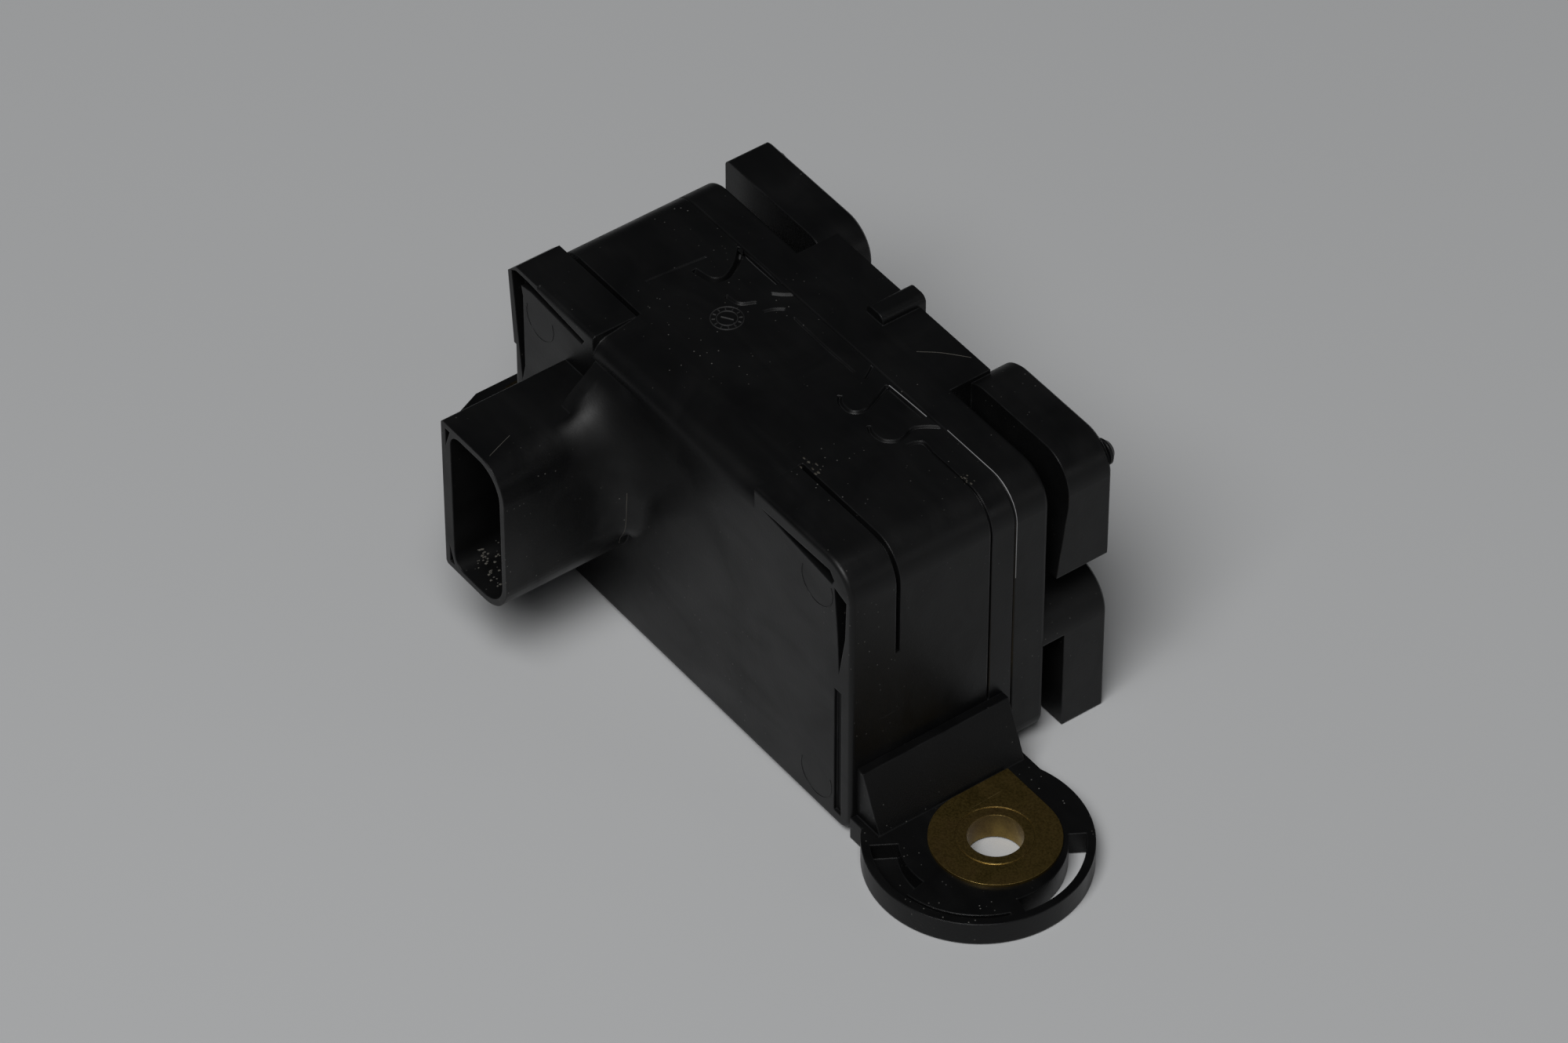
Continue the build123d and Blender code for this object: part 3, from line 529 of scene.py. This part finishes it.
# Interlocking seams on the top, where the two mouldings meet: points x, y, then width and depth
TOP_SEAMS = (
    (((-18.9, 4.7), (-16.4, 5.3), (-15.7, 6.9), (-16.9, 9.2), (-18.8, 11.2)), 0.75, 0.95),
    (((-18.7, 11.0), (-15.0, 10.95), (-11.4, 11.0)), 0.8, 1.0),
    (((-10.5, 9.3), (-9.6, 10.2), (-8.9, 11.2)), 0.52, 0.31),
    (((-10.3, 7.1), (-11.3, 5.4), (-13.2, 5.0)), 0.52, 0.34),
    (((-8.6, 6.8), (-8.2, 8.0), (-7.5, 9.0)), 0.45, 0.31),
    (((-5.8, 8.9), (-0.1, 8.8), (5.4, 8.9)), 0.39, 0.24),
    (((-20.5, -0.8), (-20.2, 3.0), (-19.8, 7.1)), 0.29, 0.17),
    (((5.8, 11.2), (6.4, 10.3), (7.0, 9.3)), 0.45, 0.31),
    (((7.5, 5.4), (8.2, 4.8), (9.1, 4.6), (10.2, 4.7), (10.9, 5.4), (11.0, 6.6), (10.2, 8.6),
      (9.3, 10.6)), 0.59, 0.37),
    (((9.4, 10.5), (12.5, 10.55), (15.7, 10.6)), 0.59, 0.42),
    (((13.3, 5.0), (14.2, 4.6), (15.4, 4.6), (16.4, 5.0), (17.1, 6.1), (16.9, 7.4), (16.5, 8.6),
      (17.2, 10.0), (18.2, 11.2)), 0.52, 0.37),
    (((18.3, 6.5), (18.5, 7.4), (19.0, 8.1), (20.0, 8.1), (20.6, 8.0)), 0.52, 0.42),
)
cutters = bmesh.new()
for points, width, depth in TOP_SEAMS:
    sweep(cutters, smooth_line(on_top(points)), vee(width, depth), UP)
seam_cutter = bpy.data.objects.new("seam_cutter", finish_mesh(cutters, "seam_cutter"))

front_mesh = finish_mesh(welded("front_housing"), "front_uncut")
front = cut("front_shell", front_mesh, seam_cutter, "front_plastic")
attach(front, "root")
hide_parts("front_housing")


def ride_along(name, bm, finish, sharp=SHARP):
    """Small plastic piece that belongs to the front housing."""
    made = new_object(name, finish_mesh(bm, name, sharp), finish)
    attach(made, "root")


# Circles that the ejector pins left on the front, each open on one side: centre x, z and radius
PIN_MARKS = ((-26.7, 34.7, 2.6), (25.3, 34.2, 2.8), (25.3, 4.7, 2.8))
PIN_START = 2.8
marks = bmesh.new()
for x, z, radius in PIN_MARKS:
    arc = around((x, z), radius, [PIN_START + a for a in turns(40, 26)])
    sweep(marks, on_front(arc), half_round(0.16, 0.045), OUT)
ride_along("pin_marks", marks, "front_plastic")

# Plain dial on the top: two circles, twelve ticks between them and a short hand
DIAL = (-10.1, 2.9)
DIAL_CIRCLES = (1.9, 1.2)
TICK_RADII = (1.35, 1.55, 1.75)
marks = bmesh.new()
for radius in DIAL_CIRCLES:
    sweep(marks, on_top(around(DIAL, radius, turns(36, 37))), half_round(0.16, 0.11), UP)
for a in turns(12, 12):
    tick = [around(DIAL, radius, [a])[0] for radius in TICK_RADII]
    sweep(marks, on_top(tick), half_round(0.18, 0.12), UP)
hand = [(DIAL[0] - 0.6, DIAL[1] - 0.4), DIAL, (DIAL[0] + 0.7, DIAL[1] + 0.45)]
sweep(marks, on_top(hand), half_round(0.22, 0.13), UP)
ride_along("dial_marks", marks, "scuffed_marks")


def crumb(bm, place, size, stretch):
    """Small irregular lump at a place in millimetres."""
    before = len(bm.verts)
    bmesh.ops.create_icosphere(bm, subdivisions=2, radius=size * MM)
    bm.verts.ensure_lookup_table()
    for vert in bm.verts[before:]:
        lump = 1.0 + rng.uniform(-0.28, 0.28)
        vert.co = Vector(c * s for c, s in zip(vert.co, stretch)) * lump + place * MM


# Torn gate stubs on the saddle's near end, on the edge of the near end and at the near corner's
# cut: middle x, y, z, spread and number of crumbs
GATES = (
    (15.0, -3.5, TOP_Z - 0.05, 0.9, 12),
    (26.4, 8.4, TOP_Z - 0.05, 0.75, 11),
    (13.9, -5.0, TOP_Z - 0.25, 0.3, 4),
)
gates = bmesh.new()
for x, y, z, spread, count in GATES:
    for _ in range(count):
        place = Vector((x + rng.gauss(0, spread), y + rng.gauss(0, spread * 0.5), z))
        crumb(gates, place, rng.uniform(0.09, 0.24), (1.3, 0.8, 0.6))
ride_along("gate_stubs", gates, "gate_flash", CRUMB_SHARP)

# Thin flash beside two seams, the second over the near end's rounding. Its pale grey is a painted
# highlight, the light that the flash catches.
FLASH_Y = 11.5
ROUND_STEPS = 8
flash = bmesh.new()
sweep(flash, smooth_line(on_top([(9.4, 10.75), (12.6, 10.9), (15.9, 11.0)])), WIRE, UP)
over = [(x, TOP_Z) for x in (19.0, 22.2, 25.4)]
for k in range(ROUND_STEPS + 1):
    a = math.pi / 2 * (1 - k / ROUND_STEPS)
    x = NEAR_X - NEAR_TOP_R * (1 - math.cos(a))
    z = TOP_Z - NEAR_TOP_R * (1 - math.sin(a))
    over.append((x, z))
over += [(NEAR_X, z) for z in (33.0, 30.0, 27.0)]
sweep(flash, [Vector((x, FLASH_Y, z)) * MM for x, z in over], WIRE, OUT)
ride_along("seam_flash_painted_highlight", flash, "painted_seam_highlight")

# Scratches on the shroud and the back, points x, y, width and height over the mounting plane, and
# the faint parting line down the hollow blend, which rays from the near side find
SCRATCHES = (
    (((-13.9, -26.9), (-14.6, -25.1), (-15.3, -23.2)), 0.07, SHROUD_TOP),
    (((6.8, 16.5), (8.6, 18.6), (11.2, 20.8)), 0.06, TOP_Z),
)
PARTING_Y = -12.2
PARTING_Z = [13.6 + 0.9 * k for k in range(11)]
RAY_X = 15.0
scratch = bmesh.new()
for points, width, z in SCRATCHES:
    line = smooth_line([Vector((x, y, z)) * MM for x, y in points])
    sweep(scratch, line, half_round(width, 0.04, 4), UP)
vertices = [v.co for v in front.data.vertices]
shell = BVHTree.FromPolygons(vertices, [f.vertices for f in front.data.polygons])
hits = [
    shell.ray_cast(Vector((RAY_X, PARTING_Y, z)) * MM, Vector((-1, 0, 0)))[0] for z in PARTING_Z
]
sweep(scratch, smooth_line(hits, 3), WIRE, OUT)
ride_along("scratches", scratch, "dust")

# Crumbs of dust that lie in the mouth of the socket, most of them near its edge
CRUMBS = 70
CRUMBS_X = (-19.2, -11.9)
CRUMBS_Y = (-27.3, -20.0, -26.4)
dust = bmesh.new()
for _ in range(CRUMBS):
    place = Vector((
        rng.uniform(*CRUMBS_X),
        rng.triangular(*CRUMBS_Y),
        SOCKET_FLOOR + rng.uniform(0.0, 0.12),
    ))
    crumb(dust, place, rng.uniform(0.05, 0.16), (1.0, 1.3, 0.6))
ride_along("socket_dust", dust, "dust", CRUMB_SHARP)

# Floor
FLOOR_HALF = 4.0
FLOOR_Z = -0.0002
PALE = (0.42, 0.425, 0.43)
PALER = (0.46, 0.465, 0.47)
floor_finish = Finish("pale_floor", PALE, 0.65, specular=0.2)
floor_finish.colour(floor_finish.blend(floor_finish.noise(3.0, 2.0), PALE, PALER))
floor_finish.bumps(
    floor_finish.node("ShaderNodeNewGeometry", "Normal", {}),
    (floor_finish.noise(900.0, 2.0), 0.00005, 0.08),
)
corners = [
    (x * FLOOR_HALF, y * FLOOR_HALF, FLOOR_Z) for x, y in ((-1, -1), (1, -1), (1, 1), (-1, 1))
]
floor_mesh = bpy.data.meshes.new("floor")
floor_mesh.from_pydata(corners, [], [(0, 1, 2, 3)])
floor = bpy.data.objects.new("floor", floor_mesh)
floor_mesh.materials.append(floor_finish.material)
scene.collection.objects.link(floor)


def look_along(made, direction):
    """Turns a lamp or the camera so that it looks along direction."""
    made.rotation_mode = "QUATERNION"
    made.rotation_quaternion = direction.to_track_quat("-Z", "Y")


AIM = Vector((0.0, 0.0, 0.02))


def lamp(name, direction, distance, size, watts):
    """Soft square lamp that stands in a direction from the part and looks at it."""
    light = bpy.data.lights.new(name, "AREA")
    light.energy = watts
    light.size = size
    made = bpy.data.objects.new(name, light)
    back = Vector(direction).normalized()
    made.location = AIM + back * distance
    look_along(made, -back)
    scene.collection.objects.link(made)


lamp("key", (0.3, -0.42, 0.86), distance=1.6, size=0.9, watts=24.5)
lamp("side", (0.75, 0.5, 0.25), distance=1.7, size=0.5, watts=0.9)

scene.world = bpy.data.worlds.new("studio")
scene.world.use_nodes = True
sky = scene.world.node_tree.nodes["Background"]
sky.inputs["Color"].default_value = (0.9, 0.95, 1.0, 1.0)
sky.inputs["Strength"].default_value = 0.03

# Camera at the photograph's place
CAMERA = (0.51149, -0.37573, 0.62191)
AZIMUTH, ELEVATION = math.radians(53.461), math.radians(43.583)
camera_data = bpy.data.cameras.new("camera")
camera_data.sensor_width = 36.0
camera_data.lens = 179.2
camera_data.clip_end = 20.0
camera = bpy.data.objects.new("camera", camera_data)
camera.location = CAMERA
look_along(camera, Vector((
    -math.sin(AZIMUTH) * math.cos(ELEVATION),
    math.cos(AZIMUTH) * math.cos(ELEVATION),
    -math.sin(ELEVATION),
)))
scene.collection.objects.link(camera)
scene.camera = camera

scene.view_settings.view_transform = "Standard"
